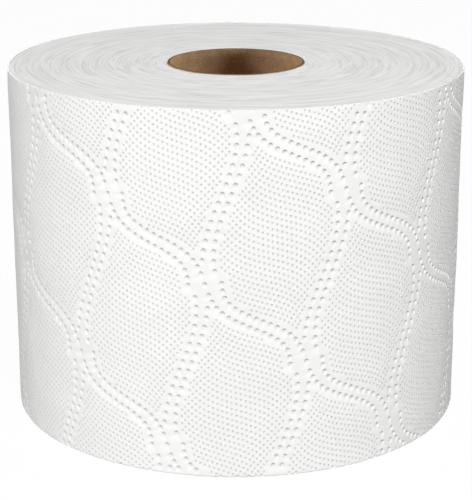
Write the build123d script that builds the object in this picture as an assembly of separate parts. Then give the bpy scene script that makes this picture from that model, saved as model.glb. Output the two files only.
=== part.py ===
from build123d import *
import math
import os

# A toilet paper roll standing on its end: one long web of soft embossed tissue wound on a
# board tube. Millimetres, +Z up along the core, origin on the core axis at the lower end,
# and the front of the roll towards -Y. The tail of the web is at the back, towards +Y.

# The roll and its core
roll_diameter = 130.0
roll_width = 100.0
core_bore = 38.0
core_wall = 0.5
sheet_thickness = 0.33

# The spiral line between the wound turns that shows on the two ends. One modelled turn stands
# for a bundle of sheets.
turn_pitch = 8.6
turn_line_width = 1.2
turn_line_depth = 0.6
inner_land = 3.6
outer_land = 4.5

# The embossed wave lattice on the outer turn, measured on the flat web. A cell is the area
# between two falling rows and two rising rows of pits, and both kinds of row swing in waves.
cell_across = 26.9
cell_fall = 21.9
cell_lean = 10.6
cell_rise = 45.8
falling_swing_across = 2.67
falling_swing_up = 1.32
rising_swing = 1.3
lattice_from_front = -8.1
lattice_from_floor = 53.9

# One embossed pit
pit_width = 2.6
pit_depth = 1.1
pit_spacing = 7.3
pit_clearance = 1.6
pit_edge_margin = 2.2

# How far a cutting shape stands out of the surface that it cuts
cutter_overrun = 0.5

core_outer_radius = core_bore / 2 + core_wall
# The outer turn is two half circles. Their centres lie half a sheet apart, so the turn ends
# one sheet further out than it began, which leaves the step of the tail.
first_radius = (roll_diameter - sheet_thickness) / 2
centre_shift = sheet_thickness / 2
second_radius = first_radius + centre_shift
front_of_web = math.pi * first_radius
web_round_once = math.pi * (first_radius + second_radius)


def core_tube():
    """The wound board tube that the web is glued to."""
    wall = Circle(core_outer_radius) - Circle(core_bore / 2)
    return extrude(wall, roll_width)


def half_turns(profile, step):
    """One turn of a spiral made of two half circles, which ends one step further out.

    profile gives the outline's points, as distance from the core axis and height."""
    halves = []
    for side, centre in ((1, 0), (-1, step / 2)):
        points = [(side * distance, height) for distance, height in profile]
        section = Plane.YZ * Polygon(*points, align=None)
        halves.append(revolve(section, Axis((0, centre, 0), (0, 0, 1)), revolution_arc=-180))
    return halves


def wound_paper():
    """The wound web as one solid, with the step of its tail at the back."""
    first_half = CenterArc((0, 0), first_radius, 90, -180)
    second_half = CenterArc((0, centre_shift), second_radius, 270, -180)
    tail = Line(second_half @ 1, first_half @ 0)
    section = make_face(Curve() + [first_half, second_half, tail])
    return extrude(section - Circle(core_outer_radius), roll_width)


def turn_lines(level, outward):
    """Cutters for the spiral line on one end. outward is 1 on the upper end, -1 on the lower."""
    first_line = core_outer_radius + inner_land
    turns = math.floor((first_radius - outer_land - first_line) / turn_pitch)
    mouth = level + outward * cutter_overrun
    spread = turn_line_width / 2 * (turn_line_depth + cutter_overrun) / turn_line_depth
    lines = []
    for turn in range(turns):
        radius = first_line + turn * turn_pitch
        bottom = (radius, level - outward * turn_line_depth)
        lines += half_turns([bottom, (radius + spread, mouth), (radius - spread, mouth)], turn_pitch)
    return lines


def on_the_wall(across, up):
    """The place on the outer turn at a distance to the right of the front line and a height."""
    along = front_of_web - across
    if along < front_of_web:
        turn = along / first_radius
        centre, radius = 0, first_radius
    else:
        turn = math.pi + (along - front_of_web) / second_radius
        centre, radius = centre_shift, second_radius
    x_dir, y_dir = math.sin(turn), math.cos(turn)
    place = (radius * x_dir, centre + radius * y_dir, up)
    return Plane(origin=place, x_dir=(y_dir, -x_dir, 0), z_dir=(x_dir, y_dir, 0))


def lattice_point(falling, rising):
    """A point of the wave lattice, counted in cells along its two kinds of row."""
    falling_wave = math.sin(2 * math.pi * falling)
    rising_wave = math.sin(2 * math.pi * rising)
    across = lattice_from_front + falling * cell_across - rising * cell_lean
    up = lattice_from_floor - falling * cell_fall - rising * cell_rise
    across += rising_swing * rising_wave - falling_swing_across * falling_wave
    up -= falling_swing_up * falling_wave
    return across, up


def along_a_row(row_point, start, end):
    """Places a pit's spacing apart along one row, walked in fine steps."""
    fine_steps_per_cell = 60
    travelled = pit_spacing / 2
    last = row_point(start)
    places = []
    for step in range(1, (end - start) * fine_steps_per_cell):
        here = row_point(start + step / fine_steps_per_cell)
        travelled += math.dist(last, here)
        last = here
        if travelled >= pit_spacing:
            travelled -= pit_spacing
            places.append(here)
    return places


def pit_places():
    """Where the pits of the outer turn lie, as distances to the right and heights."""
    half_round = web_round_once / 2
    cells_out = math.ceil(half_round / cell_across) + math.ceil(roll_width / cell_rise) + 2
    rows = []
    for row in range(-cells_out, cells_out + 1):
        rows += along_a_row(lambda t: lattice_point(t, row), -cells_out, cells_out)
    for row in range(-cells_out, cells_out + 1):
        rows += along_a_row(lambda t: lattice_point(row, t), -cells_out, cells_out)
    kept = []
    for across, up in rows:
        along = front_of_web - across
        if not pit_edge_margin < up < roll_width - pit_edge_margin:
            continue
        if not pit_edge_margin < along < web_round_once - pit_edge_margin:
            continue
        near = pit_width + pit_clearance
        if all(math.dist((across, up), other) > near for other in kept):
            kept.append((across, up))
    return kept


def pit_cutter():
    """A four-sided point that leaves a pit of the named width and depth in the wall."""
    height = pit_depth + cutter_overrun
    base = pit_width * height / pit_depth
    point = Wedge(base, height, base, base / 2, base / 2, base / 2, base / 2)
    return Pos(0, 0, cutter_overrun - height / 2) * Rot(-90, 0, 0) * point


def paper_roll():
    """The wound web with the lines between its turns and its embossed pits."""
    cutter = pit_cutter()
    pits = [on_the_wall(across, up).location * cutter for across, up in pit_places()]
    ends = turn_lines(roll_width, 1) + turn_lines(0, -1)
    return wound_paper() - ends - pits


os.makedirs("parts", exist_ok=True)
parts = {"core_tube": core_tube(), "paper_roll": paper_roll()}
for name, part in parts.items():
    solid = part.solids()[0]
    solid.label = name
    export_step(solid, "parts/" + name + ".step")
    print(name, "volume", round(solid.volume), "faces", len(solid.faces()))
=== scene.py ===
# %% [markdown]
# # A roll of toilet paper
# A long web of soft white tissue is embossed with dots, wound on a brown board tube and cut
# to width. From the front nearly all that shows is the embossed outer turn, so most of the
# work goes there. From above it is the end of the roll, where every turn shows its cut edge.
# The frame gives the sizes, and each visible piece is built around it.

# %% Load the frame
import math
from functools import partial

import bmesh
import bpy
import numpy as np
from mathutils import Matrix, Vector
from mathutils.geometry import delaunay_2d_cdt
from mathutils.kdtree import KDTree


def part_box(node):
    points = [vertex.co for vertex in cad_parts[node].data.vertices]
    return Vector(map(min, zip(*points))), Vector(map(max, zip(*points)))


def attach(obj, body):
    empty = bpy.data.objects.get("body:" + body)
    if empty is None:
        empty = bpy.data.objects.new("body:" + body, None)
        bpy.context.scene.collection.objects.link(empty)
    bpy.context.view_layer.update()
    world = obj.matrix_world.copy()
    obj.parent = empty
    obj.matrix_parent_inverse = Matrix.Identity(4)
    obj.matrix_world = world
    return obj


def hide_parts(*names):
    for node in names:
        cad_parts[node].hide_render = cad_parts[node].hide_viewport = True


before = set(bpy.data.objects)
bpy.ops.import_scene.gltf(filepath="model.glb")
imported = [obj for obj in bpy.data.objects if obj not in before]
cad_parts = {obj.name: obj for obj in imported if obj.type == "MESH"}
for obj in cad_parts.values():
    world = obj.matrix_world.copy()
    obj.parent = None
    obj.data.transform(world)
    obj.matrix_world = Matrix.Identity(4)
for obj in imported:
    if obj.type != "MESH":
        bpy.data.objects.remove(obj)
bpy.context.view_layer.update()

# %% [markdown]
# ## The camera
# The photograph looks down on the roll a little, from about half a metre away. The place of the
# camera could be found by trying. The ellipses of the two rims and of the hole tell it more
# surely: how flat they are gives the pitch, and how much they differ gives the distance. The
# picture is taller than wide, so the camera's sensor width counts along its height.

# %% The camera
CAMERA_PLACE = (0, -0.4618, 0.1889)
CAMERA_DEGREES_DOWN = 17.52
CAMERA_LENS = 117.53

camera_data = bpy.data.cameras.new("camera")
camera_data.lens = CAMERA_LENS
camera_data.sensor_width = 36
camera_data.clip_start = 0.01
camera_data.clip_end = 50
camera = bpy.data.objects.new("camera", camera_data)
camera.location = CAMERA_PLACE
camera.rotation_euler = (math.radians(90 - CAMERA_DEGREES_DOWN), 0, 0)
bpy.context.scene.collection.objects.link(camera)
bpy.context.scene.camera = camera
print("camera at:", CAMERA_PLACE, "degrees down:", CAMERA_DEGREES_DOWN, "lens:", CAMERA_LENS)

# %% [markdown]
# ## The sizes
# One turn of tissue is a third of a millimetre thick, so the roll has well over a hundred of
# them. The outer turn is made of two half circles whose centres lie half a sheet apart. That is
# how a spiral is drawn with a pair of compasses, and it leaves the small step of the tail.

# %% The sizes, in metres
MM = 0.001
roll_low, roll_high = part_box("paper_roll")
tube_low, tube_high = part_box("core_tube")
ROLL_WIDTH = roll_high.z - roll_low.z
SHEET = 0.33 * MM
TUBE_RADIUS = (tube_high.x - tube_low.x) / 2
TUBE_WALL = 0.5 * MM
FIRST_RADIUS = (roll_high.y - roll_low.y - SHEET) / 2
SECOND_RADIUS = FIRST_RADIUS + SHEET / 2
FRONT_OF_WEB = math.pi * FIRST_RADIUS
WEB_ROUND_ONCE = math.pi * (FIRST_RADIUS + SECOND_RADIUS)
print("turns of tissue:", round((FIRST_RADIUS - TUBE_RADIUS) / SHEET))

# %% [markdown]
# ## Winding as a rule
# A roll is a flat sheet plus a rule that winds it up. Its turns could be drawn as separate
# rings, but then no turn would run on into the next. Geometry Nodes can hold the rule once and
# use it for the wall and for both ends. The first tree turns an angle along the spiral into a
# radius. The angle counts from the tail and is negative further in. In the second half of a
# turn the radius swells by one sheet, which is what the shifted half circle does.

# %% Helpers that build node trees
def number_input(tree, name, value):
    """Adds a number to a tree's inputs, with the value that it starts with."""
    socket = tree.interface.new_socket(name, in_out="INPUT", socket_type="NodeSocketFloat")
    socket.default_value = value


def calculate(tree, operation, *values):
    """Adds one Math node and gives its output. Each value is a number or another output."""
    node = tree.nodes.new("ShaderNodeMath")
    node.operation = operation
    for socket, value in zip(node.inputs, values):
        if isinstance(value, (int, float)):
            socket.default_value = value
        else:
            tree.links.new(value, socket)
    return node.outputs[0]


def new_geometry_tree(name, numbers, with_geometry=True):
    """A Geometry Nodes tree with a geometry, a material and named numbers as its inputs."""
    tree = bpy.data.node_groups.new(name, "GeometryNodeTree")
    if with_geometry:
        face = tree.interface
        face.new_socket("Geometry", in_out="INPUT", socket_type="NodeSocketGeometry")
        face.new_socket("Geometry", in_out="OUTPUT", socket_type="NodeSocketGeometry")
        face.new_socket("Material", in_out="INPUT", socket_type="NodeSocketMaterial")
    for label, value in numbers.items():
        number_input(tree, label, value)
    return tree, tree.nodes.new("NodeGroupInput").outputs


# %% The winding rule
winding, given = new_geometry_tree(
    "Winding radius",
    {"Angle": 0, "First Radius": FIRST_RADIUS, "Sheet": SHEET},
    with_geometry=False,
)
winding.interface.new_socket("Radius", in_out="OUTPUT", socket_type="NodeSocketFloat")
in_rule = partial(calculate, winding)
turn = in_rule("FLOOR", in_rule("DIVIDE", given["Angle"], math.tau))
in_turn = in_rule("SUBTRACT", given["Angle"], in_rule("MULTIPLY", turn, math.tau))
in_second_half = in_rule("GREATER_THAN", in_turn, math.pi)
swell = in_rule("MULTIPLY", in_rule("ADD", in_rule("COSINE", in_turn), 1), 0.5)
sheets_out = in_rule("ADD", turn, in_rule("MULTIPLY", swell, in_second_half))
wound_radius = in_rule("MULTIPLY_ADD", sheets_out, given["Sheet"], given["First Radius"])
winding.links.new(wound_radius, winding.nodes.new("NodeGroupOutput").inputs["Radius"])
print("winding rule:", len(winding.nodes), "nodes")


def radius_at(tree, angle, first_radius, sheet):
    """Places the winding rule in a tree and gives the radius at an angle."""
    node = tree.nodes.new("GeometryNodeGroup")
    node.node_tree = winding
    for label, value in (("Angle", angle), ("First Radius", first_radius), ("Sheet", sheet)):
        tree.links.new(value, node.inputs[label])
    return node.outputs["Radius"]


def round_the_axis(tree, geometry, angle, radius, height):
    """Moves every point to its angle and radius about the roll's axis, and smooths the faces."""
    place = tree.nodes.new("ShaderNodeCombineXYZ")
    across = calculate(tree, "MULTIPLY", radius, calculate(tree, "SINE", angle))
    back = calculate(tree, "MULTIPLY", radius, calculate(tree, "COSINE", angle))
    for socket, value in zip(place.inputs, (across, back, height)):
        tree.links.new(value, socket)
    moved = tree.nodes.new("GeometryNodeSetPosition")
    tree.links.new(geometry, moved.inputs["Geometry"])
    tree.links.new(place.outputs[0], moved.inputs["Position"])
    smooth = tree.nodes.new("GeometryNodeSetShadeSmooth")
    tree.links.new(moved.outputs["Geometry"], smooth.inputs["Geometry"])
    return smooth.outputs["Geometry"]


def close_tree(tree, geometry, material):
    """Ends a tree in Realize Instances and Set Material."""
    real = tree.nodes.new("GeometryNodeRealizeInstances")
    finish = tree.nodes.new("GeometryNodeSetMaterial")
    tree.links.new(geometry, real.inputs["Geometry"])
    tree.links.new(real.outputs["Geometry"], finish.inputs["Geometry"])
    tree.links.new(material, finish.inputs["Material"])
    tree.links.new(finish.outputs["Geometry"], tree.nodes.new("NodeGroupOutput").inputs["Geometry"])


# %% [markdown]
# ## A tree that winds a flat sheet
# The embossed sheet is easiest to make flat, as the real one is. This tree then winds it. On
# the flat sheet X runs to the right of the roll's front line, Y is the height, and Z is how far
# the paper stands out. A bend modifier would wind it too, but only round a plain circle.

# %% The tree that winds a flat sheet
wind_sheet, given = new_geometry_tree(
    "Wind a flat sheet",
    {
        "First Radius": FIRST_RADIUS,
        "Second Radius": SECOND_RADIUS,
        "Sheet": SHEET,
        "Front Of Web": FRONT_OF_WEB,
    },
)
position = wind_sheet.nodes.new("GeometryNodeInputPosition").outputs[0]
flat_place = wind_sheet.nodes.new("ShaderNodeSeparateXYZ")
wind_sheet.links.new(position, flat_place.inputs[0])
on_sheet = partial(calculate, wind_sheet)
along = on_sheet("SUBTRACT", given["Front Of Web"], flat_place.outputs["X"])
first_part = on_sheet("MINIMUM", along, given["Front Of Web"])
second_part = on_sheet("MAXIMUM", on_sheet("SUBTRACT", along, given["Front Of Web"]), 0)
first_turn = on_sheet("DIVIDE", first_part, given["First Radius"])
second_turn = on_sheet("DIVIDE", second_part, given["Second Radius"])
sheet_angle = on_sheet("ADD", first_turn, second_turn)
plain_radius = radius_at(wind_sheet, sheet_angle, given["First Radius"], given["Sheet"])
sheet_radius = on_sheet("ADD", plain_radius, flat_place.outputs["Z"])
wound = round_the_axis(
    wind_sheet, given["Geometry"], sheet_angle, sheet_radius, flat_place.outputs["Y"]
)
close_tree(wind_sheet, wound, given["Material"])
print("tree that winds a sheet:", len(wind_sheet.nodes), "nodes")

# %% [markdown]
# ## From a tree to a plain piece
# A modifier's inputs are set by each socket's identifier. The evaluated result then becomes a
# plain mesh, because only plain meshes ride on the frame. A wound grid meets itself in a seam,
# so points that meet are joined and small holes are closed.

# %% Turn a tree's result into a plain piece
def piece_from_tree(name, tree, material, mesh=None, **numbers):
    """Runs a tree on a mesh, or on an empty one, and gives the result as a plain object."""
    start = mesh or bpy.data.meshes.new(name + "_start")
    piece = bpy.data.objects.new(name, start)
    bpy.context.scene.collection.objects.link(piece)
    modifier = piece.modifiers.new("build", "NODES")
    modifier.node_group = tree
    for item in tree.interface.items_tree:
        if item.in_out == "INPUT" and item.name == "Material":
            modifier[item.identifier] = material
        elif item.in_out == "INPUT" and item.name in numbers:
            modifier[item.identifier] = numbers[item.name]
    graph = bpy.context.evaluated_depsgraph_get()
    result = bpy.data.meshes.new_from_object(piece.evaluated_get(graph), depsgraph=graph)
    piece.modifiers.clear()
    piece.data = result
    result.name = name
    bpy.data.meshes.remove(start)
    return piece


MEETING_DISTANCE = 0.0005 * MM
SMALL_HOLE_SIDES = 12


def close_seams(piece, most_sides=SMALL_HOLE_SIDES):
    """Joins points that meet, closes small holes and turns every face outwards."""
    work = bmesh.new()
    work.from_mesh(piece.data)
    bmesh.ops.remove_doubles(work, verts=work.verts, dist=MEETING_DISTANCE)
    bmesh.ops.dissolve_degenerate(work, edges=work.edges, dist=MEETING_DISTANCE)
    open_edges = [edge for edge in work.edges if edge.is_boundary]
    bmesh.ops.holes_fill(work, edges=open_edges, sides=most_sides)
    bmesh.ops.recalc_face_normals(work, faces=work.faces)
    still_open = sum(edge.is_boundary for edge in work.edges)
    work.to_mesh(piece.data)
    work.free()
    piece.data.calc_loop_triangles()
    print(piece.name, "triangles:", len(piece.data.loop_triangles), "open edges:", still_open)


# %% [markdown]
# ## What paper looks like
# Tissue has no gloss and a loose, fibrous surface. A photograph of paper could be laid on it,
# but that would repeat and would need the sheet unwrapped. Noise has no seam and no edge. One
# shader group makes the fibres for the wall, the cut ends and the board, each with its own
# size. It puts out a height for a Bump node and a tone, so the colour isn't perfectly even.

# %% The shared fibre group
fibres = bpy.data.node_groups.new("Paper fibres", "ShaderNodeTree")
for label, value in (("Fibre Scale", 2500.0), ("Cloud Scale", 120.0), ("Cloud Share", 0.5)):
    number_input(fibres, label, value)
fibres.interface.new_socket("Vector", in_out="INPUT", socket_type="NodeSocketVector")
fibres.interface.new_socket("Height", in_out="OUTPUT", socket_type="NodeSocketFloat")
fibres.interface.new_socket("Tone", in_out="OUTPUT", socket_type="NodeSocketFloat")
given = fibres.nodes.new("NodeGroupInput").outputs
put_out = fibres.nodes.new("NodeGroupOutput").inputs


def noise(tree, vector, scale, detail, roughness=0.6, distortion=0.0):
    """A noise texture's value. The scale is a number or an output."""
    node = tree.nodes.new("ShaderNodeTexNoise")
    tree.links.new(vector, node.inputs["Vector"])
    if isinstance(scale, (int, float)):
        node.inputs["Scale"].default_value = scale
    else:
        tree.links.new(scale, node.inputs["Scale"])
    node.inputs["Detail"].default_value = detail
    node.inputs["Roughness"].default_value = roughness
    node.inputs["Distortion"].default_value = distortion
    return node.outputs[0]


fibre_height = noise(fibres, given["Vector"], given["Fibre Scale"], 3, 0.65, 0.8)
clouds = noise(fibres, given["Vector"], given["Cloud Scale"], 2)
fibre_share = calculate(fibres, "SUBTRACT", 1, given["Cloud Share"])
cloud_part = calculate(fibres, "MULTIPLY", clouds, given["Cloud Share"])
fibres.links.new(fibre_height, put_out["Height"])
tone = calculate(fibres, "MULTIPLY_ADD", fibre_height, fibre_share, cloud_part)
fibres.links.new(tone, put_out["Tone"])
print("fibre group:", len(fibres.nodes), "nodes")


# %% A matt fibrous material
PAPER_ROUGHNESS = 0.92
PAPER_SPECULAR = 0.15
SHEEN_ROUGHNESS = 0.6
TONE_DARK_UP_TO = 0.3
TONE_PALE_FROM = 0.7


def paper_material(name, dark, pale, fibre_scale, cloud_scale, cloud_share, bump, depth, sheen):
    """A matt fibrous material between two colours. Bump is a strength and depth a distance."""
    material = bpy.data.materials.new(name)
    material.use_nodes = True
    tree = material.node_tree
    shader = tree.nodes["Principled BSDF"]
    shader.inputs["Roughness"].default_value = PAPER_ROUGHNESS
    shader.inputs["Specular IOR Level"].default_value = PAPER_SPECULAR
    shader.inputs["Sheen Weight"].default_value = sheen
    shader.inputs["Sheen Roughness"].default_value = SHEEN_ROUGHNESS
    place = tree.nodes.new("ShaderNodeTexCoord").outputs["Object"]
    group = tree.nodes.new("ShaderNodeGroup")
    group.node_tree = fibres
    tree.links.new(place, group.inputs["Vector"])
    group.inputs["Fibre Scale"].default_value = fibre_scale
    group.inputs["Cloud Scale"].default_value = cloud_scale
    group.inputs["Cloud Share"].default_value = cloud_share
    ramp = tree.nodes.new("ShaderNodeValToRGB")
    ramp.color_ramp.elements[0].position = TONE_DARK_UP_TO
    ramp.color_ramp.elements[0].color = (*dark, 1)
    ramp.color_ramp.elements[1].position = TONE_PALE_FROM
    ramp.color_ramp.elements[1].color = (*pale, 1)
    tree.links.new(group.outputs["Tone"], ramp.inputs[0])
    tree.links.new(ramp.outputs["Color"], shader.inputs["Base Color"])
    bump_node = tree.nodes.new("ShaderNodeBump")
    bump_node.inputs["Strength"].default_value = bump
    bump_node.inputs["Distance"].default_value = depth
    tree.links.new(group.outputs["Height"], bump_node.inputs["Height"])
    tree.links.new(bump_node.outputs["Normal"], shader.inputs["Normal"])
    return material


# %% The three finishes
embossed_tissue = paper_material(
    "embossed_tissue",
    dark=(0.91, 0.905, 0.895),
    pale=(0.95, 0.945, 0.94),
    fibre_scale=3200,
    cloud_scale=90,
    cloud_share=0.4,
    bump=0.35,
    depth=0.05 * MM,
    sheen=0.05,
)
cut_tissue = paper_material(
    "cut_tissue",
    dark=(0.93, 0.925, 0.92),
    pale=(0.965, 0.96, 0.955),
    fibre_scale=4200,
    cloud_scale=160,
    cloud_share=0.45,
    bump=0.6,
    depth=0.08 * MM,
    sheen=0.0,
)
kraft_board = paper_material(
    "kraft_board",
    dark=(0.32, 0.175, 0.08),
    pale=(0.7, 0.46, 0.27),
    fibre_scale=2600,
    cloud_scale=300,
    cloud_share=0.25,
    bump=0.6,
    depth=0.1 * MM,
    sheen=0.0,
)
print("finishes:", [finish.name for finish in (embossed_tissue, cut_tissue, kraft_board)])

# %% [markdown]
# ## Painted shade that follows the form
# The dots are painted darker towards their middle, and darkest in the crease at the upper side
# of a dot, as painted shade. The sheet is also a little darker where it rolls over the rims. On
# a cut end some stretches of a turn are painted greyer than others, as painted shade between
# uneven turns, which shows as fine arcs. Both could be painted on a picture. Here each mesh
# carries them as a number at every point, made together with its shape, so they fit it from
# all sides. The cut edge of the board is painted nearly black: partly its own darker edge, and
# partly painted shade of the narrow gap between the paper and the tube. The direction that a
# face looks in tells the cut edge from the faces.

# %% Painted shade for the dots and the cut ends, and the colour of the cut board
PAINTED_DOT_SHADE_COLOUR = (0.48, 0.475, 0.465)
TURN_SHADE_COLOUR = (0.68, 0.675, 0.665)
CUT_EDGE_AND_SHADE_COLOUR = (0.13, 0.09, 0.06)
UPRIGHT_FROM = 0.3
# A Mix node has a row of sockets for each kind of data. These are the ones for colours.
MIX_SHARE, MIX_FIRST, MIX_SECOND, MIX_RESULT = 0, 6, 7, 2


def tint(material, share, colour):
    """Mixes a colour into a material, as far as the share says."""
    tree = material.node_tree
    base = tree.nodes["Principled BSDF"].inputs["Base Color"]
    mix = tree.nodes.new("ShaderNodeMix")
    mix.data_type = "RGBA"
    tree.links.new(share, mix.inputs[MIX_SHARE])
    tree.links.new(base.links[0].from_socket, mix.inputs[MIX_FIRST])
    mix.inputs[MIX_SECOND].default_value = (*colour, 1)
    tree.links.new(mix.outputs[MIX_RESULT], base)


def tint_by_attribute(material, attribute, colour):
    """Mixes a colour into a material, as far as a number that the mesh carries says."""
    stored = material.node_tree.nodes.new("ShaderNodeAttribute")
    stored.attribute_name = attribute
    tint(material, stored.outputs["Fac"], colour)


# Painted shade: the dots are darkened towards their middle and most in their upper crease. The
# sheet is also a little darker where it rolls over the rims.
tint_by_attribute(embossed_tissue, "painted_shade", PAINTED_DOT_SHADE_COLOUR)
# Painted shade: stretches of the cut turns are painted greyer, in fine arcs.
tint_by_attribute(cut_tissue, "turn_shade", TURN_SHADE_COLOUR)
# Partly painted shade: the board's cut edges are painted nearly black. This is partly their own
# darker colour and partly the shade of the narrow gap between the paper and the tube.
board_nodes = kraft_board.node_tree.nodes
facing = board_nodes.new("ShaderNodeNewGeometry")
split = board_nodes.new("ShaderNodeSeparateXYZ")
kraft_board.node_tree.links.new(facing.outputs["True Normal"], split.inputs[0])
upright = calculate(kraft_board.node_tree, "ABSOLUTE", split.outputs["Z"])
cut_edge = calculate(kraft_board.node_tree, "GREATER_THAN", upright, UPRIGHT_FROM)
tint(kraft_board, cut_edge, CUT_EDGE_AND_SHADE_COLOUR)
print("tones: pressed tissue, shade of turns, cut edge of the board")

# %% [markdown]
# ## The embossing
# A roller presses dots into the sheet to hold its plies together and to make it soft. The
# pattern is a lattice of waves. Falling rows run down to the right and rising rows run down to
# the left, and both swing from side to side. Every row is double. Where two rows cross, three
# chains of dots pass side by side, and the cells between them end in a point on one side and
# swing wide on the other. Dots could be placed one by one, but the back has to be covered too.
# The rule below gives the whole pattern from a few lengths.

# %% The lattice of rows
CELL_ACROSS = 26.9 * MM
CELL_FALL = 21.9 * MM
CELL_LEAN = 10.6 * MM
CELL_RISE = 45.8 * MM
FALLING_SWING_ACROSS = 2.67 * MM
FALLING_SWING_UP = 1.32 * MM
RISING_SWING = 1.3 * MM
LATTICE_FROM_FRONT = -8.1 * MM
LATTICE_FROM_FLOOR = 53.9 * MM
FALLING_GAP = 4.6 * MM
FALLING_GAP_FADE = 1.7
RISING_GAP = 1.2 * MM
RISING_GAP_AT_NODE = 2.9 * MM
RISING_GAP_REACH = 0.09
RISING_GAP_FADE = 0.7


def lattice_point(falling, rising):
    """Points of the lattice, as distances to the right of the front line and heights."""
    falling, rising = np.broadcast_arrays(np.asarray(falling, float), np.asarray(rising, float))
    falling_wave = np.sin(math.tau * falling)
    rising_wave = np.sin(math.tau * rising)
    across = LATTICE_FROM_FRONT + falling * CELL_ACROSS - rising * CELL_LEAN
    across = across + RISING_SWING * rising_wave - FALLING_SWING_ACROSS * falling_wave
    up = LATTICE_FROM_FLOOR - falling * CELL_FALL - rising * CELL_RISE
    up = up - FALLING_SWING_UP * falling_wave
    return np.stack([across, up], -1)


def beside(row, distance):
    """A row moved sideways by a distance that may change along it, up where it is positive."""
    run = np.gradient(row, axis=0)
    run /= np.linalg.norm(run, axis=1)[:, None]
    return row + np.stack([-run[:, 1], run[:, 0]], -1) * distance[:, None]


STEPS_ALONG_A_ROW = 121
ALONG = np.linspace(0, 1, STEPS_ALONG_A_ROW)
print("one cell, mm:", round(CELL_ACROSS / MM, 1), "by", round(CELL_RISE / MM, 1))


# %% The double rows
def falling_pair(falling, rising):
    """The two lines of a falling row from one node to the next: the upper and the lower."""
    row = lattice_point(falling + ALONG, rising)
    upper = beside(row, FALLING_GAP * (1 - ALONG) ** FALLING_GAP_FADE)
    lower = beside(row, -FALLING_GAP * ALONG**FALLING_GAP_FADE)
    return upper, lower


def rising_gap(from_node):
    """How far a rising row's line lies from its middle, wide near the node it starts from."""
    narrow = RISING_GAP * np.clip((1 - from_node) / RISING_GAP_REACH, 0, 1) ** RISING_GAP_FADE
    return narrow + RISING_GAP_AT_NODE * np.exp(-from_node / RISING_GAP_REACH)


def rising_pair(falling, rising):
    """The two lines of a rising row from one node to the next: the left and the right."""
    row = lattice_point(falling, rising + ALONG)
    aside = np.stack([rising_gap(ALONG), np.zeros_like(ALONG)], -1)
    return row - aside, row + aside[::-1]


upper, lower = falling_pair(0, 0)
apart = np.linalg.norm(upper - lower, axis=1) / MM
print("lines of a falling row, mm apart:", round(apart.min(), 1), "to", round(apart.max(), 1))


# %% [markdown]
# ## Where the dots go
# Large dots stand at an even spacing on those lines. Fine dots fill each cell in rows that
# follow the falling waves, every second row shifted by half a space, and they keep clear of
# the cell's outline. A plain grid of fine dots would run straight through the waves.

# %% Helpers that place dots
LARGE_SPACING_FALLING = 2.0 * MM
LARGE_SPACING_RISING = 2.65 * MM
LARGE_CLEARANCE = 1.75 * MM
FINE_SPACING = 1.31 * MM
FINE_ROWS_IN_A_CELL = 32
FINE_ROW_OVERRUN = 0.15
FINE_ROW_STEPS = 160
FINE_SHIFTS = (0.75, 0.25)
FINE_CLEARANCE = 1.65 * MM
NEARLY_NOTHING = 1e-15


def evenly_along(line, spacing, shift=0.5):
    """Points a nearly even distance apart along a line."""
    steps = np.linalg.norm(np.diff(line, axis=0), axis=1)
    travelled = np.concatenate([[0], np.cumsum(steps)])
    count = max(1, round(travelled[-1] / spacing))
    stops = (np.arange(count) + shift) * travelled[-1] / count
    return np.stack([np.interp(stops, travelled, line[:, axis]) for axis in (0, 1)], -1)


def thin_out(points, clearance):
    """Leaves out each point that is too near to an earlier one."""
    kept = {}
    for point in points:
        column, row = int(point[0] // clearance), int(point[1] // clearance)
        near = (
            other
            for x in (column - 1, column, column + 1)
            for y in (row - 1, row, row + 1)
            for other in kept.get((x, y), ())
        )
        if all(math.dist(point, other) > clearance for other in near):
            kept.setdefault((column, row), []).append(point)
    return np.array([point for group in kept.values() for point in group])


def deep_inside(outline, points, clearance):
    """Which points lie inside a closed outline and further than the clearance from it."""
    ends = np.roll(outline, -1, axis=0)
    x, y = points[:, :1], points[:, 1:]
    spans = (outline[:, 1] > y) != (ends[:, 1] > y)
    slope = (ends[:, 0] - outline[:, 0]) / (ends[:, 1] - outline[:, 1] + NEARLY_NOTHING)
    crossed = spans & (x < outline[:, 0] + slope * (y - outline[:, 1]))
    nearest = np.hypot(x - outline[:, 0], y - outline[:, 1]).min(1)
    return (crossed.sum(1) % 2 == 1) & (nearest > clearance)


# %% All the dots of the lattice
CELLS_ACROSS = range(-9, 10)
CELLS_UP = range(-6, 7)

nodes, on_falling, on_rising, fine = [], [], [], []
for i in CELLS_ACROSS:
    fine_stretch = np.linspace(i - FINE_ROW_OVERRUN, i + 1 + FINE_ROW_OVERRUN, FINE_ROW_STEPS)
    for j in CELLS_UP:
        nodes.append(lattice_point(i, j))
        upper, lower = falling_pair(i, j)
        left, right = rising_pair(i, j)
        on_falling += [evenly_along(line, LARGE_SPACING_FALLING) for line in (lower, upper)]
        on_rising += [evenly_along(line, LARGE_SPACING_RISING) for line in (left, right)]
        next_left = rising_pair(i + 1, j)[0]
        next_upper = falling_pair(i, j + 1)[0]
        outline = np.concatenate([lower, next_left, next_upper[::-1], right[::-1]])
        for row in range(FINE_ROWS_IN_A_CELL):
            line = lattice_point(fine_stretch, j + (row + 0.5) / FINE_ROWS_IN_A_CELL)
            places = evenly_along(line, FINE_SPACING, FINE_SHIFTS[row % 2])
            fine.append(places[deep_inside(outline, places, FINE_CLEARANCE)])
print("before the roll's edges cut them, fine dots:", sum(len(places) for places in fine))


# %% The dots that lie on the roll
UNDER_THE_TAIL = 16 * MM
WEB_LEFT = FRONT_OF_WEB - WEB_ROUND_ONCE
WEB_RIGHT = FRONT_OF_WEB + UNDER_THE_TAIL


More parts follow.
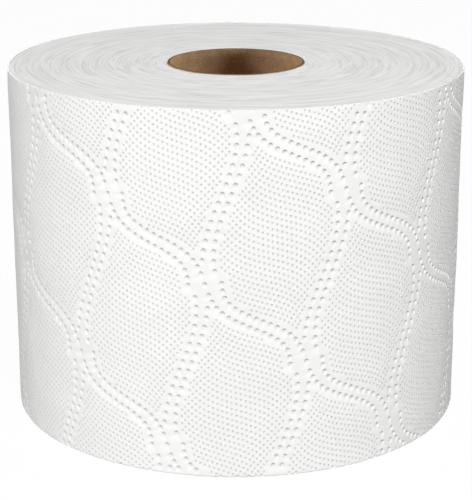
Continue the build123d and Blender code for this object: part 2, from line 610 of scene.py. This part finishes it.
def on_the_roll(points, from_rim, from_edge):
    """The points that lie on the web, clear of its two rims and of its left and right edge."""
    across, up = points[:, 0], points[:, 1]
    clear_of_rims = (up > from_rim) & (up < ROLL_WIDTH - from_rim)
    clear_of_edges = (across > WEB_LEFT + from_edge) & (across < WEB_RIGHT - from_edge)
    return points[clear_of_rims & clear_of_edges]


large_dots = thin_out(np.concatenate([np.array(nodes), *on_falling, *on_rising]), LARGE_CLEARANCE)
large_dots = on_the_roll(large_dots, from_rim=0.5 * MM, from_edge=1.2 * MM)
fine_dots = on_the_roll(np.concatenate(fine), from_rim=0.25 * MM, from_edge=0.7 * MM)
print("large dots:", len(large_dots), "fine dots:", len(fine_dots))

# %% [markdown]
# ## One dot
# A dot is pressed into the paper, so it has to be part of the surface. A bump texture would
# look flat at the sides of the roll, and a displaced grid would need millions of faces. Here
# each dot is a few rings of points at growing depth around its centre. Its deepest point lies
# towards the upper right, so the paper has a steep crease there. Each point also carries a
# share of painted shade, which darkens the dot towards its middle and most in that crease.

# %% The shape of one dot
def dot_rings(rings, centre_depth, lean, painted_shade_share, crease_shade_share):
    """Points of a dot, as distance right, height and depth in millimetres, and share of painted
    shade.

    Each ring has a count, a half width, a half height and a depth. lean is how far the deepest
    point lies to the right of and above the middle of the rim. The painted shade grows towards
    the deepest point, and the crease share adds more on the side that the dot leans to."""
    points = [(lean[0], lean[1], centre_depth, painted_shade_share)]
    for number, (count, half_width, half_height, depth) in enumerate(rings):
        part_way = depth / centre_depth
        for step in range(count):
            turn_by = math.tau * (step + 0.5 * (number % 2)) / count
            right = half_width * math.cos(turn_by) + lean[0] * part_way
            up = half_height * math.sin(turn_by) + lean[1] * part_way
            upward = max(0, math.cos(turn_by) * lean[0] + math.sin(turn_by) * lean[1])
            points.append((right, up, depth, part_way * (painted_shade_share + crease_shade_share * upward)))
    return np.array(points)


LARGE_DOT = dot_rings(
    rings=[(12, 0.7, 0.86, 0), (10, 0.47, 0.57, 0.24)],
    centre_depth=0.36,
    lean=(0.1, 0.32),
    painted_shade_share=0.42,
    crease_shade_share=3.2,
)
FINE_DOT = dot_rings(
    rings=[(6, 0.43, 0.5, 0)], centre_depth=0.24, lean=(0.1, 0.2), painted_shade_share=0.8, crease_shade_share=0
)
DOT_VARIATION = 0.16
draw = np.random.default_rng(7)
print("points in a large dot:", len(LARGE_DOT), "and in a fine one:", len(FINE_DOT))


def stamp(dots, shape):
    """All points of a kind of dot: distance right, height, depth below the paper and share of
    painted shade.
    """
    depth_of_each = 1 + DOT_VARIATION * draw.uniform(-1, 1, len(dots))
    points = np.repeat(shape[None], len(dots), 0)
    points[:, :, :3] *= MM
    points[:, :, :2] += dots[:, None]
    points[:, :, 2] *= depth_of_each[:, None]
    return points.reshape(-1, 4)


# %% [markdown]
# ## The outer turn
# The outer turn is one sheet, and it looks soft: it rolls over at the two rims, sinks a little
# along the rows of large dots, and its tail lifts off at the back. It could be one skin, but
# an open skin shows its inside at the tail. So each piece is a closed body a few sheets thick:
# the embossed skin, a plain skin behind it, and walls between the two. The wall is cut into
# three pieces, because a very large mesh is hard to handle. The cuts are far round the sides.

# %% The rim and the tail
BUNDLE = 1.3 * MM
# How far past the rim a point lies on the flat web, and how far down and inwards it ends up
RIM_STEPS = np.array([-0.4, -0.12, 0.06, 0.16, 0.38, 1.3]) * MM
RIM_DOWN = np.array([0.4, 0.14, 0.02, 0.03, 0.18, 0.9]) * MM
RIM_IN = np.array([0, 0.03, 0.13, 0.21, 0.34, 1.3]) * MM
TAIL_FREE = 13 * MM
TAIL_LIFT = 0.3 * MM
TAIL_COUNTS_AS_FREE = 0.02 * MM
TAIL_THICKNESS = 0.9 * SHEET
TAIL_UNEVEN = 0.2
TAIL_WAVE, TAIL_SMALL_WAVE, TAIL_WAVE_START = 5.1 / ROLL_WIDTH, 12.4 / ROLL_WIDTH, 0.6
TAIL_BOND_SPACING = 3.4 * MM
TAIL_BOND_WIDTH = 0.7 * MM
TAIL_BOND_LENGTH = 0.35 * MM


def tail_lift(across, up):
    """How far the free end of the tail stands off the roll."""
    free = np.clip((WEB_LEFT + TAIL_FREE - across) / TAIL_FREE, 0, None)
    waves = np.cos(up * TAIL_WAVE + TAIL_WAVE_START) * np.cos(up * TAIL_SMALL_WAVE)
    return TAIL_LIFT * free**2 * (1 - TAIL_UNEVEN + TAIL_UNEVEN * waves)


# Each wave's share, its angle for each millimetre across and up, and the angle it starts at
SLOW_WAVES = (
    (1, 0.21, 0.13, 1.0),
    (1, 0.11, -0.24, 2.2),
    (0.7, 0.43, 0.09, 0),
    (0.5, 0.07, 0.47, 0.4),
)
SLOW_WAVE_HEIGHT = 0.03 * MM


def slow_waves(across, up):
    """The slight unevenness of a soft roll, a few hundredths of a millimetre."""
    x, y = across / MM, up / MM
    waves = sum(share * np.sin(a * x + b * y + start) for share, a, b, start in SLOW_WAVES)
    return SLOW_WAVE_HEIGHT * waves


print("the tail lifts by", round(TAIL_LIFT / MM, 1), "mm over its last", end=" ")
print(round(TAIL_FREE / MM), "mm")


# %% The two skins
PRESSED_DEPTH = 0.12 * MM
PRESSED_REACH = 2.2 * MM
large_dot_places = KDTree(len(large_dots))
for number, dot in enumerate(large_dots):
    large_dot_places.insert((dot[0], dot[1], 0), number)
large_dot_places.balance()


def outer_skin(flat):
    """Places of the embossed skin from points on the flat web, rims rolled over."""
    across, up, depth = flat.T
    over = np.maximum(up - ROLL_WIDTH, -up)
    down = np.interp(over, RIM_STEPS, RIM_DOWN)
    inward = np.interp(over, RIM_STEPS, RIM_IN)
    at_rim = over > RIM_STEPS[0]
    height = np.where(at_rim, np.where(up > ROLL_WIDTH / 2, ROLL_WIDTH - down, down), up)
    nearest = np.array([large_dot_places.find((x, y, 0))[2] for x, y in zip(across, up)])
    sunk = PRESSED_DEPTH * np.exp(-((nearest / PRESSED_REACH) ** 2))
    free = tail_lift(across, up) > TAIL_COUNTS_AS_FREE
    thickness = BUNDLE + (TAIL_THICKNESS - BUNDLE) * free
    inward = np.where(at_rim, inward * np.minimum(1, thickness / BUNDLE + (inward < SHEET)), 0)
    lift = tail_lift(across, up) + slow_waves(across, up) - sunk - depth - inward
    return np.stack([across, height, lift], -1)


def inner_skin(flat):
    """Places of the plain skin behind the embossed one."""
    across, up, _ = flat.T
    last = RIM_STEPS[-1]
    height = RIM_DOWN[-1] + (up + last) / (ROLL_WIDTH + 2 * last) * (ROLL_WIDTH - 2 * RIM_DOWN[-1])
    free = tail_lift(across, up) > TAIL_COUNTS_AS_FREE
    thickness = np.where(free, TAIL_THICKNESS, BUNDLE)
    lift = tail_lift(across, up) + slow_waves(across, up) - thickness
    return np.stack([across, height, lift], -1)


print("thickness of the outer turn:", round(BUNDLE / MM, 2), "mm,", end=" ")
print("and of its tail:", round(TAIL_THICKNESS / MM, 2), "mm")

# %% [markdown]
# ## The edges of a piece
# The boundary of each piece is a closed loop of points. Along the rims they are a millimetre
# apart. The tail's own edge is where the last sheet was torn off along its perforation, so it
# has a small tuft at every bond. A plain straight edge would look cut with a knife.

# %% Cuts and the torn edge
CUT_POINTS = 52
TORN_EDGE_POINTS = 220
LOWEST, HIGHEST = -RIM_STEPS[-1], ROLL_WIDTH + RIM_STEPS[-1]


def straight_cut(across):
    """Points along a straight cut, from below the lower rim to above the upper one."""
    ups = np.linspace(LOWEST, HIGHEST, CUT_POINTS)
    return np.stack([np.full_like(ups, across), ups], -1)


def torn_edge(across):
    """The tail's edge, with a tuft at every torn bond of the perforation."""
    ups = np.linspace(LOWEST, HIGHEST, TORN_EDGE_POINTS)
    from_bond = np.abs((ups + TAIL_BOND_SPACING / 2) % TAIL_BOND_SPACING - TAIL_BOND_SPACING / 2)
    tuft = TAIL_BOND_LENGTH * np.clip(1 - from_bond / (TAIL_BOND_WIDTH / 2), 0, 1)
    return np.stack([across - tuft, ups], -1)


def clear_of_cuts(dots, low, high, half_width):
    """The dots of one piece, each moved so that none of them crosses a cut."""
    mine = dots[(dots[:, 0] > low) & (dots[:, 0] <= high)].copy()
    mine[:, 0] = np.clip(mine[:, 0], low + half_width, high - half_width)
    return mine


print("points along a cut:", CUT_POINTS, "and along the torn edge:", TORN_EDGE_POINTS)


# %% [markdown]
# ## The skin of a piece
# A Delaunay triangulation joins the points of all the dots and rims into one skin, with no more
# faces than they need. It works on flat points only, which is one more reason to press the dots
# while the sheet is flat. Rows of points that follow the rims are left out where a dot is.

# %% Points and triangles of the embossed skin
RIM_BAND = 2 * MM
RIM_DARKENING = 0.2
RIM_DARKENING_FROM = -0.2 * MM
LARGE_HALF_WIDTH = 0.77 * MM
FINE_HALF_WIDTH = 0.49 * MM
CLEAR_OF_LARGE = 0.9 * MM
CLEAR_OF_FINE = 0.52 * MM


def outside_dots(points, dots, clearance):
    """Which points near the rims lie outside every dot."""
    at_rim = dots[np.abs(dots[:, 1] - ROLL_WIDTH / 2) > ROLL_WIDTH / 2 - RIM_BAND]
    apart = np.hypot(points[:, :1] - at_rim[:, 0], points[:, 1:] - at_rim[:, 1])
    return apart.min(1, initial=1) > clearance


def skin_points(rim, low, high):
    """Points inside a piece's boundary: distance right, height, depth and how much darker each is
    painted, as painted shade in the dots and a little along the rims.
    """
    rows = np.concatenate([-RIM_STEPS[:-1], ROLL_WIDTH + RIM_STEPS[:-1]])
    rim_rows = np.array([(x, y) for y in rows for x in rim])
    large_here = clear_of_cuts(large_dots, low, high, LARGE_HALF_WIDTH)
    fine_here = clear_of_cuts(fine_dots, low, high, FINE_HALF_WIDTH)
    rim_rows = rim_rows[outside_dots(rim_rows, large_here, CLEAR_OF_LARGE)]
    rim_rows = rim_rows[outside_dots(rim_rows, fine_here, CLEAR_OF_FINE)]
    past_rim = np.maximum(rim_rows[:, 1] - ROLL_WIDTH, -rim_rows[:, 1])
    rim_points = np.pad(rim_rows, ((0, 0), (0, 2)))
    # The sheet is painted a little darker where it rolls over the rims.
    rim_points[:, 3] = RIM_DARKENING * (past_rim > RIM_DARKENING_FROM)
    return np.concatenate([rim_points, stamp(large_here, LARGE_DOT), stamp(fine_here, FINE_DOT)])


def triangulate(loop, points):
    """Delaunay triangles inside a closed loop. The loop's points come first."""
    flat = [Vector(point) for point in np.concatenate([loop, points])]
    border = [(number, (number + 1) % len(loop)) for number in range(len(loop))]
    _, _, faces, origins, _, _ = delaunay_2d_cdt(flat, border, [], 1, 1e-9)
    source = np.array([origin[0] for origin in origins])
    return source[np.array(faces)]


# %% Build the three pieces of the wall
RIM_SPACING = 1.0 * MM
BACK_SPACING = 2.5 * MM
BACK_ROWS = 9
SHARP_FROM_DEGREES = 30
RIGHT_CUT = 88 * MM
LEFT_CUT = -88 * MM


def wall_piece(name, left_edge, right_edge, low, high):
    """One closed piece of the outer turn, between its left and its right edge."""
    rim = np.linspace(low, high, max(2, round((high - low) / RIM_SPACING)) + 1)[1:-1]
    bottom = np.stack([rim, np.full_like(rim, LOWEST)], -1)
    top = np.stack([rim[::-1], np.full_like(rim, HIGHEST)], -1)
    loop = np.concatenate([left_edge[::-1], bottom, right_edge, top])
    loop_flat = np.pad(loop, ((0, 0), (0, 1)))
    inside = skin_points(rim, low, high)
    back_across = np.linspace(low, high, round((high - low) / BACK_SPACING) + 1)[1:-1]
    back_up = np.linspace(LOWEST, HIGHEST, BACK_ROWS + 2)[1:-1]
    coarse = np.array([(x, y, 0) for x in back_across for y in back_up])
    skin_faces = triangulate(loop, inside[:, :2])
    back_faces = triangulate(loop, coarse[:, :2])
    skin = outer_skin(np.concatenate([loop_flat, inside[:, :3]]))
    back = inner_skin(np.concatenate([loop_flat, coarse]))
    count, around = len(skin), len(loop)
    walls = [(i, count + i, count + (i + 1) % around, (i + 1) % around) for i in range(around)]
    faces = skin_faces.tolist() + (back_faces[:, ::-1] + count).tolist() + walls
    mesh = bpy.data.meshes.new(name + "_flat")
    mesh.from_pydata(np.concatenate([skin, back]).tolist(), [], faces)
    # Each point's painted shade of the dots, and the darker rims, go with the mesh as a number at
    # each point.
    painted_shade_share = np.zeros(len(mesh.vertices))
    painted_shade_share[around:count] = inside[:, 3]
    mesh.attributes.new("painted_shade", "FLOAT", "POINT").data.foreach_set("value", painted_shade_share)
    piece = piece_from_tree(name, wind_sheet, embossed_tissue, mesh)
    close_seams(piece)
    piece.data.set_sharp_from_angle(angle=math.radians(SHARP_FROM_DEGREES))
    return piece


front_edges = straight_cut(LEFT_CUT), straight_cut(RIGHT_CUT)
wall_front = wall_piece("wall_front", *front_edges, LEFT_CUT, RIGHT_CUT)
right_edges = straight_cut(RIGHT_CUT), straight_cut(WEB_RIGHT)
wall_right = wall_piece("wall_right", *right_edges, RIGHT_CUT, WEB_RIGHT)
left_edges = torn_edge(WEB_LEFT), straight_cut(LEFT_CUT)
wall_left = wall_piece("wall_left", *left_edges, WEB_LEFT, LEFT_CUT)

# %% [markdown]
# ## The wound ends
# On the end of the roll every turn shows as a fine ridge with a groove beside it. The saw and
# the winding leave some turns a little higher than others, in bands. A flat disc with a bump
# of rings would look right from far off, but its rings would close on themselves. Here a grid
# of rings, half a sheet apart, is wound by the same rule, so each ridge runs on into the next
# turn as a real spiral does. Noise on the spiral's own coordinate makes the unevenness.

# %% Inputs of the tree for a wound end
HIDDEN_RINGS_FIRST = 2
HIDDEN_RINGS_LAST = 3
wound_end, given = new_geometry_tree(
    "Wound end",
    {
        "First Radius": FIRST_RADIUS,
        "Sheet": SHEET,
        "Turns": 136,
        "Segments": 300,
        "Core Radius": TUBE_RADIUS + 0.12 * MM,
        "Hidden Radius": FIRST_RADIUS - 1.0 * MM,
        "Hidden Depth": 0.8 * MM,
        "Groove": 0.2 * MM,
        "Turn Unevenness": 0.3 * MM,
        "Band Unevenness": 0.35 * MM,
        "Even Near Rim": 0.1,
        "Shade From": 0.44,
        "Shade Growth": 3.2,
        "Face Height": ROLL_WIDTH,
        "Middle Height": ROLL_WIDTH / 2,
        "Side": 1,
        "Seed": 0,
    },
)
on_end = partial(calculate, wound_end)


def grid_of_rings(tree, rings, segments):
    """A grid of rings with each point's ring, its share of the way round and its angle."""
    points_round = calculate(tree, "ADD", segments, 1)
    grid = tree.nodes.new("GeometryNodeMeshGrid")
    tree.links.new(rings, grid.inputs["Vertices X"])
    tree.links.new(points_round, grid.inputs["Vertices Y"])
    index = tree.nodes.new("GeometryNodeInputIndex").outputs[0]
    middle = calculate(tree, "ADD", index, 0.5)
    ring = calculate(tree, "FLOOR", calculate(tree, "DIVIDE", middle, points_round))
    step = calculate(tree, "SUBTRACT", index, calculate(tree, "MULTIPLY", ring, points_round))
    share = calculate(tree, "DIVIDE", step, segments)
    return grid.outputs["Mesh"], ring, share, calculate(tree, "MULTIPLY", share, math.tau)


def from_0_to_1(tree, value):
    """Keeps a number between 0 and 1."""
    return calculate(tree, "MAXIMUM", calculate(tree, "MINIMUM", value, 1), 0)


print("sockets of the tree for a wound end:", len(wound_end.interface.items_tree))


# %% [markdown]
# The rings of the grid count inwards. The first two and the last three lie hidden inside the
# roll and close the body, and all the others are the face: a crest and a groove for each turn.
# Ring numbers are whole, so each comparison is made half-way between two of them.

# %% How far out each ring lies
half_steps = on_end("MULTIPLY", given["Turns"], 2)
ring_count = on_end("ADD", half_steps, HIDDEN_RINGS_FIRST + 1 + HIDDEN_RINGS_LAST)
end_grid, ring, share_round, angle = grid_of_rings(wound_end, ring_count, given["Segments"])
half_step = on_end("SUBTRACT", ring, HIDDEN_RINGS_FIRST)
past_last = on_end("SUBTRACT", half_step, half_steps)
before_first = on_end("LESS_THAN", half_step, -0.5)
behind_last = on_end("GREATER_THAN", past_last, 0.5)
closing = on_end("GREATER_THAN", past_last, 2.5)
on_face = on_end("SUBTRACT", on_end("SUBTRACT", 1, before_first), behind_last)
whole_turns = on_end("ADD", on_end("FLOOR", on_end("DIVIDE", half_step, 2)), 1)
crest = on_end("FLOORED_MODULO", half_step, 2)
spiral_angle = on_end("SUBTRACT", angle, on_end("MULTIPLY", whole_turns, math.tau))
wound_radius = radius_at(wound_end, spiral_angle, given["First Radius"], given["Sheet"])
half_sheet = on_end("MULTIPLY", given["Sheet"], 0.5)
face_radius = on_end("SUBTRACT", wound_radius, on_end("MULTIPLY", crest, half_sheet))
at_hidden_radius = on_end("ADD", before_first, closing)
at_core = on_end("SUBTRACT", behind_last, closing)
end_radius = on_end("MULTIPLY", on_face, face_radius)
end_radius = on_end("MULTIPLY_ADD", at_hidden_radius, given["Hidden Radius"], end_radius)
end_radius = on_end("MULTIPLY_ADD", at_core, given["Core Radius"], end_radius)
print("nodes that place the rings of a wound end:", len(wound_end.nodes))

# %% Uneven turns and their shade
turns_in = on_end("MULTIPLY_ADD", half_step, 0.5, 1)
spiral_turn = on_end("SUBTRACT", turns_in, share_round)


def spiral_noise(round_scale, turn_scale, detail):
    """Noise that changes round the axis and from turn to turn, with no seam."""
    place = wound_end.nodes.new("ShaderNodeCombineXYZ")
    cosine = on_end("MULTIPLY", on_end("COSINE", angle), round_scale)
    sine = on_end("MULTIPLY", on_end("SINE", angle), round_scale)
    along_turns = on_end("MULTIPLY_ADD", spiral_turn, turn_scale, given["Seed"])
    for socket, value in zip(place.inputs, (cosine, sine, along_turns)):
        wound_end.links.new(value, socket)
    return noise(wound_end, place.outputs[0], 1, detail)


turn_noise = spiral_noise(round_scale=2.2, turn_scale=1.7, detail=2)
band_noise = spiral_noise(round_scale=0.5, turn_scale=0.13, detail=3)
# Painted shade: the stretches of turns that this noise picks are painted greyer, for the shade
# between uneven turns.
shade_noise = spiral_noise(round_scale=2.8, turn_scale=0.72, detail=2)
past_shade = on_end("SUBTRACT", shade_noise, given["Shade From"])
shade = from_0_to_1(wound_end, on_end("MULTIPLY", past_shade, given["Shade Growth"]))
turn_part = on_end("MULTIPLY", turn_noise, given["Turn Unevenness"])
band_part = on_end("MULTIPLY", band_noise, given["Band Unevenness"])
groove_part = on_end("MULTIPLY", on_end("SUBTRACT", 1, crest), given["Groove"])
near_rim = from_0_to_1(wound_end, on_end("MULTIPLY", half_step, given["Even Near Rim"]))
uneven_part = on_end("ADD", turn_part, band_part)
face_depth = on_end("MULTIPLY_ADD", uneven_part, near_rim, groove_part)
print("nodes with its unevenness and shade added:", len(wound_end.nodes))

# %% The height of each ring, and the end of the tree
hidden_depth = on_end("MULTIPLY", before_first, given["Hidden Depth"])
hidden_depth = on_end("MULTIPLY_ADD", behind_last, given["Hidden Depth"], hidden_depth)
face_depth = on_end("MULTIPLY_ADD", face_depth, on_face, hidden_depth)
sided = on_end("MULTIPLY", face_depth, given["Side"])
face_height = on_end("SUBTRACT", given["Face Height"], sided)
first_ring = on_end("LESS_THAN", half_step, -1.5)
at_middle = on_end("ADD", first_ring, on_end("GREATER_THAN", past_last, 1.5))
to_middle = on_end("SUBTRACT", given["Middle Height"], face_height)
end_height = on_end("MULTIPLY_ADD", to_middle, at_middle, face_height)
# Each point's share of painted shade on the cut end goes with the mesh.
shaded = wound_end.nodes.new("GeometryNodeStoreNamedAttribute")
shaded.inputs["Name"].default_value = "turn_shade"
wound_end.links.new(end_grid, shaded.inputs["Geometry"])
wound_end.links.new(shade, shaded.inputs["Value"])
wound = round_the_axis(wound_end, shaded.outputs["Geometry"], angle, end_radius, end_height)
close_tree(wound_end, wound, given["Material"])
print("tree for a wound end:", len(wound_end.nodes), "nodes")

# %% The two wound ends
END_HOLE_SIDES = 30
LOWER_END = {"Face Height": 0.0, "Side": -1.0, "Seed": 31.0}
end_top = piece_from_tree("end_top", wound_end, cut_tissue)
end_bottom = piece_from_tree("end_bottom", wound_end, cut_tissue, **LOWER_END)
for end in (end_top, end_bottom):
    close_seams(end, END_HOLE_SIDES)

# %% [markdown]
# ## The core
# The core is two plies of kraft board, wound in a steep spiral and glued, then cut to the width
# of the web. Inside it the edge of the inner ply shows as a fine spiral groove. A tube with a
# groove cut into it would need a cutter as long as the tube. Here the grid of the tube is
# twisted with the slope of the ply, so the groove is just one line of the grid, set deeper.

# %% Inputs of the tree for the board tube
RIM_RINGS = 5
PLY_PITCH = 140 * MM
board_tube, given = new_geometry_tree(
    "Wound board tube",
    {
        "Segments": 200,
        "Rows": 40,
        "Inner Radius": TUBE_RADIUS - TUBE_WALL,
        "Outer Radius": TUBE_RADIUS,
        "Height": ROLL_WIDTH,
        "Twist": math.tau / PLY_PITCH,
        "Seam Depth": 0.16 * MM,
        "Seam Share": 0.001,
        "Rim": 0.12 * MM,
        "Rim Rise": 0.6,
    },
)
on_tube = partial(calculate, board_tube)
print("sockets of the tree for the board tube:", len(board_tube.interface.items_tree))

# %% Which wall or rim of the tube each ring is on
rings = on_tube("MULTIPLY_ADD", given["Rows"], 2, RIM_RINGS)
tube_grid, ring, share_round, angle = grid_of_rings(board_tube, rings, given["Segments"])
past_inner = on_tube("SUBTRACT", ring, given["Rows"])
past_outer = on_tube("SUBTRACT", past_inner, on_tube("ADD", given["Rows"], 2))
closing = on_tube("GREATER_THAN", past_outer, 1.5)
low_rim = on_tube("SUBTRACT", on_tube("GREATER_THAN", past_outer, 0.5), closing)
inner_rows = on_tube("LESS_THAN", past_inner, 0.5)
high_rim = on_tube("SUBTRACT", on_tube("LESS_THAN", past_inner, 1.5), inner_rows)
at_inner = on_tube("ADD", inner_rows, closing)
at_rim = on_tube("ADD", low_rim, high_rim)
at_outer = on_tube("SUBTRACT", on_tube("SUBTRACT", 1, at_rim), at_inner)
print("nodes that sort the rings of the tube:", len(board_tube.nodes))

# %% The height of each ring of the tube
up_share = on_tube("DIVIDE", ring, given["Rows"])
open_share = on_tube("SUBTRACT", up_share, on_tube("MULTIPLY", closing, up_share))
inner_up = on_tube("MULTIPLY", at_inner, open_share)
down_share = on_tube("DIVIDE", on_tube("SUBTRACT", past_inner, 2), given["Rows"])
wall_up = on_tube("MULTIPLY_ADD", at_outer, on_tube("SUBTRACT", 1, down_share), inner_up)
wall_up = on_tube("ADD", wall_up, high_rim)
clear_height = on_tube("SUBTRACT", given["Height"], on_tube("MULTIPLY", given["Rim"], 2))
tube_height = on_tube("MULTIPLY_ADD", wall_up, clear_height, given["Rim"])
rim_reach = on_tube("SUBTRACT", high_rim, low_rim)
rim_rise = on_tube("MULTIPLY", given["Rim"], given["Rim Rise"])
tube_height = on_tube("MULTIPLY_ADD", rim_reach, rim_rise, tube_height)
print("nodes with the heights added:", len(board_tube.nodes))

# %% The radius of each ring of the tube, and the end of the tree
on_seam = on_tube("LESS_THAN", on_tube("PINGPONG", share_round, 0.5), given["Seam Share"])
seam_part = on_tube("MULTIPLY", on_seam, given["Seam Depth"])
inner_radius = on_tube("ADD", given["Inner Radius"], seam_part)
board_wall = on_tube("SUBTRACT", given["Outer Radius"], given["Inner Radius"])
middle_radius = on_tube("MULTIPLY_ADD", board_wall, 0.5, given["Inner Radius"])
tube_radius = on_tube("MULTIPLY", at_inner, inner_radius)
tube_radius = on_tube("MULTIPLY_ADD", at_outer, given["Outer Radius"], tube_radius)
tube_radius = on_tube("MULTIPLY_ADD", at_rim, middle_radius, tube_radius)
twisted = on_tube("MULTIPLY_ADD", tube_height, given["Twist"], angle)
wound = round_the_axis(board_tube, tube_grid, twisted, tube_radius, tube_height)
close_tree(board_tube, wound, given["Material"])
print("tree for the board tube:", len(board_tube.nodes), "nodes")

# %% The board tube
core = piece_from_tree("board_core", board_tube, kraft_board)
close_seams(core)

# %% [markdown]
# ## Floor and background
# The photograph is a cut-out on white. A white floor in strong light would throw that light
# back on the roll and wash out its lower half. So this floor is nearly plain white to the
# camera alone and dark to bounced light, and it still takes a soft shadow. The world is white
# where it is seen, and gives only a little light to the room.

# %% The floor
FLOOR_REACH = 3
FLOOR_COLOUR_IN_BOUNCES = 0.1
FLOOR_COLOUR_IF_SEEN = 0.95
FLOOR_ROUGHNESS = 0.9
FLOOR_PLAIN_WHITE = 0.955

floor_mesh = bpy.data.meshes.new("floor")
corners = np.array([(-1, -1, 0), (1, -1, 0), (1, 1, 0), (-1, 1, 0)]) * FLOOR_REACH
floor_mesh.from_pydata(corners.tolist(), [], [(0, 1, 2, 3)])
floor = bpy.data.objects.new("floor", floor_mesh)
bpy.context.scene.collection.objects.link(floor)
floor_paint = bpy.data.materials.new("floor_white")
floor_paint.use_nodes = True
tree = floor_paint.node_tree
shader = tree.nodes["Principled BSDF"]
seen = tree.nodes.new("ShaderNodeLightPath").outputs["Is Camera Ray"]
more_if_seen = FLOOR_COLOUR_IF_SEEN - FLOOR_COLOUR_IN_BOUNCES
paleness = calculate(tree, "MULTIPLY_ADD", seen, more_if_seen, FLOOR_COLOUR_IN_BOUNCES)
tree.links.new(paleness, shader.inputs["Base Color"])
shader.inputs["Roughness"].default_value = FLOOR_ROUGHNESS
glow = tree.nodes.new("ShaderNodeEmission")
mix = tree.nodes.new("ShaderNodeMixShader")
tree.links.new(calculate(tree, "MULTIPLY", seen, FLOOR_PLAIN_WHITE), mix.inputs[0])
tree.links.new(shader.outputs[0], mix.inputs[1])
tree.links.new(glow.outputs[0], mix.inputs[2])
tree.links.new(mix.outputs[0], tree.nodes["Material Output"].inputs["Surface"])
floor_mesh.materials.append(floor_paint)
print("floor reaches", FLOOR_REACH, "m to each side")

# %% The world
ROOM_LIGHT = 0.08

world = bpy.data.worlds.new("studio")
world.use_nodes = True
bpy.context.scene.world = world
tree = world.node_tree
background = tree.nodes["Background"]
background.inputs["Color"].default_value = (1, 1, 1, 1)
rays = tree.nodes.new("ShaderNodeLightPath")
seen = calculate(tree, "MAXIMUM", rays.outputs["Is Camera Ray"], rays.outputs["Is Glossy Ray"])
seen = calculate(tree, "MAXIMUM", seen, rays.outputs["Is Transmission Ray"])
strength = calculate(tree, "MULTIPLY_ADD", seen, 1 - ROOM_LIGHT, ROOM_LIGHT)
tree.links.new(strength, background.inputs["Strength"])
print("room light:", ROOM_LIGHT, "and 1 where the world is seen")

# %% [markdown]
# ## Light
# The wall is brightest in the middle, grey at both sides, and each dot shows a dark upper edge
# and a bright lower one. The cut end is a shade darker than the wall. One big lamp from above
# would make the end the brightest part. Here a raised lamp in front lights the paper and the
# floor, a low strip lights the wall and hardly reaches the end, and a weak lamp at each side
# keeps the edges from turning dark. A lamp behind lights the wall alone, for views from the
# back, and two small ones light the tube alone.

# %% Lamps
# The dark upper edge of each dot comes partly from these lamps and partly from the painted shade of
# the dots.
LAMP_DISTANCE = 1.5


def soft_lamp(name, azimuth, elevation, width, height, power):
    """A lamp aimed at the middle of the roll. Azimuth 0 is the front and 90 is the right."""
    data = bpy.data.lights.new(name, "AREA")
    data.shape = "RECTANGLE"
    data.size = width
    data.size_y = height
    data.energy = power
    lamp = bpy.data.objects.new(name, data)
    around, above = math.radians(azimuth), math.radians(elevation)
    middle = Vector((0, 0, ROLL_WIDTH / 2))
    back = Vector(
        (math.sin(around) * math.cos(above), -math.cos(around) * math.cos(above), math.sin(above))
    )
    lamp.location = middle + back * LAMP_DISTANCE
    lamp.rotation_euler = back.to_track_quat("Z", "Y").to_euler()
    bpy.context.scene.collection.objects.link(lamp)
    return lamp


def light_only(lamp, lit):
    """Limits a lamp to the given objects."""
    lamp.light_linking.receiver_collection = bpy.data.collections.new(lamp.name + "_lights")
    for item in lit:
        lamp.light_linking.receiver_collection.objects.link(item)


walls = (wall_front, wall_right, wall_left)
key = soft_lamp("key_lamp", azimuth=8, elevation=52, width=0.35, height=0.35, power=14.9)
light_only(key, (*walls, end_top, end_bottom, floor))
soft_lamp("front_strip", azimuth=-13, elevation=0.3, width=0.5, height=0.09, power=9.9)
soft_lamp("left_lamp", azimuth=-92, elevation=28, width=0.4, height=0.4, power=5.4)
soft_lamp("right_lamp", azimuth=92, elevation=28, width=0.4, height=0.4, power=5.8)
back_lamp = soft_lamp("back_lamp", azimuth=180, elevation=35, width=0.5, height=0.5, power=18)
light_only(back_lamp, walls)
for azimuth in (-88, 88):
    tube_lamp = soft_lamp("tube_lamp", azimuth, elevation=32, width=0.3, height=0.3, power=6.5)
    light_only(tube_lamp, [core])
bpy.context.scene.view_settings.view_transform = "Standard"
print("lamps:", len(bpy.data.lights))

# %% [markdown]
# ## Ride on the frame
# Every piece moves with a body, and the solid it stands for is hidden. Each piece took its
# finish when it was made. The roll has no moving part, so there is one body.

# %% Ride on the frame
for piece in (*walls, end_top, end_bottom):
    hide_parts("paper_roll")
    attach(piece, "root")
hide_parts("core_tube")
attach(core, "root")
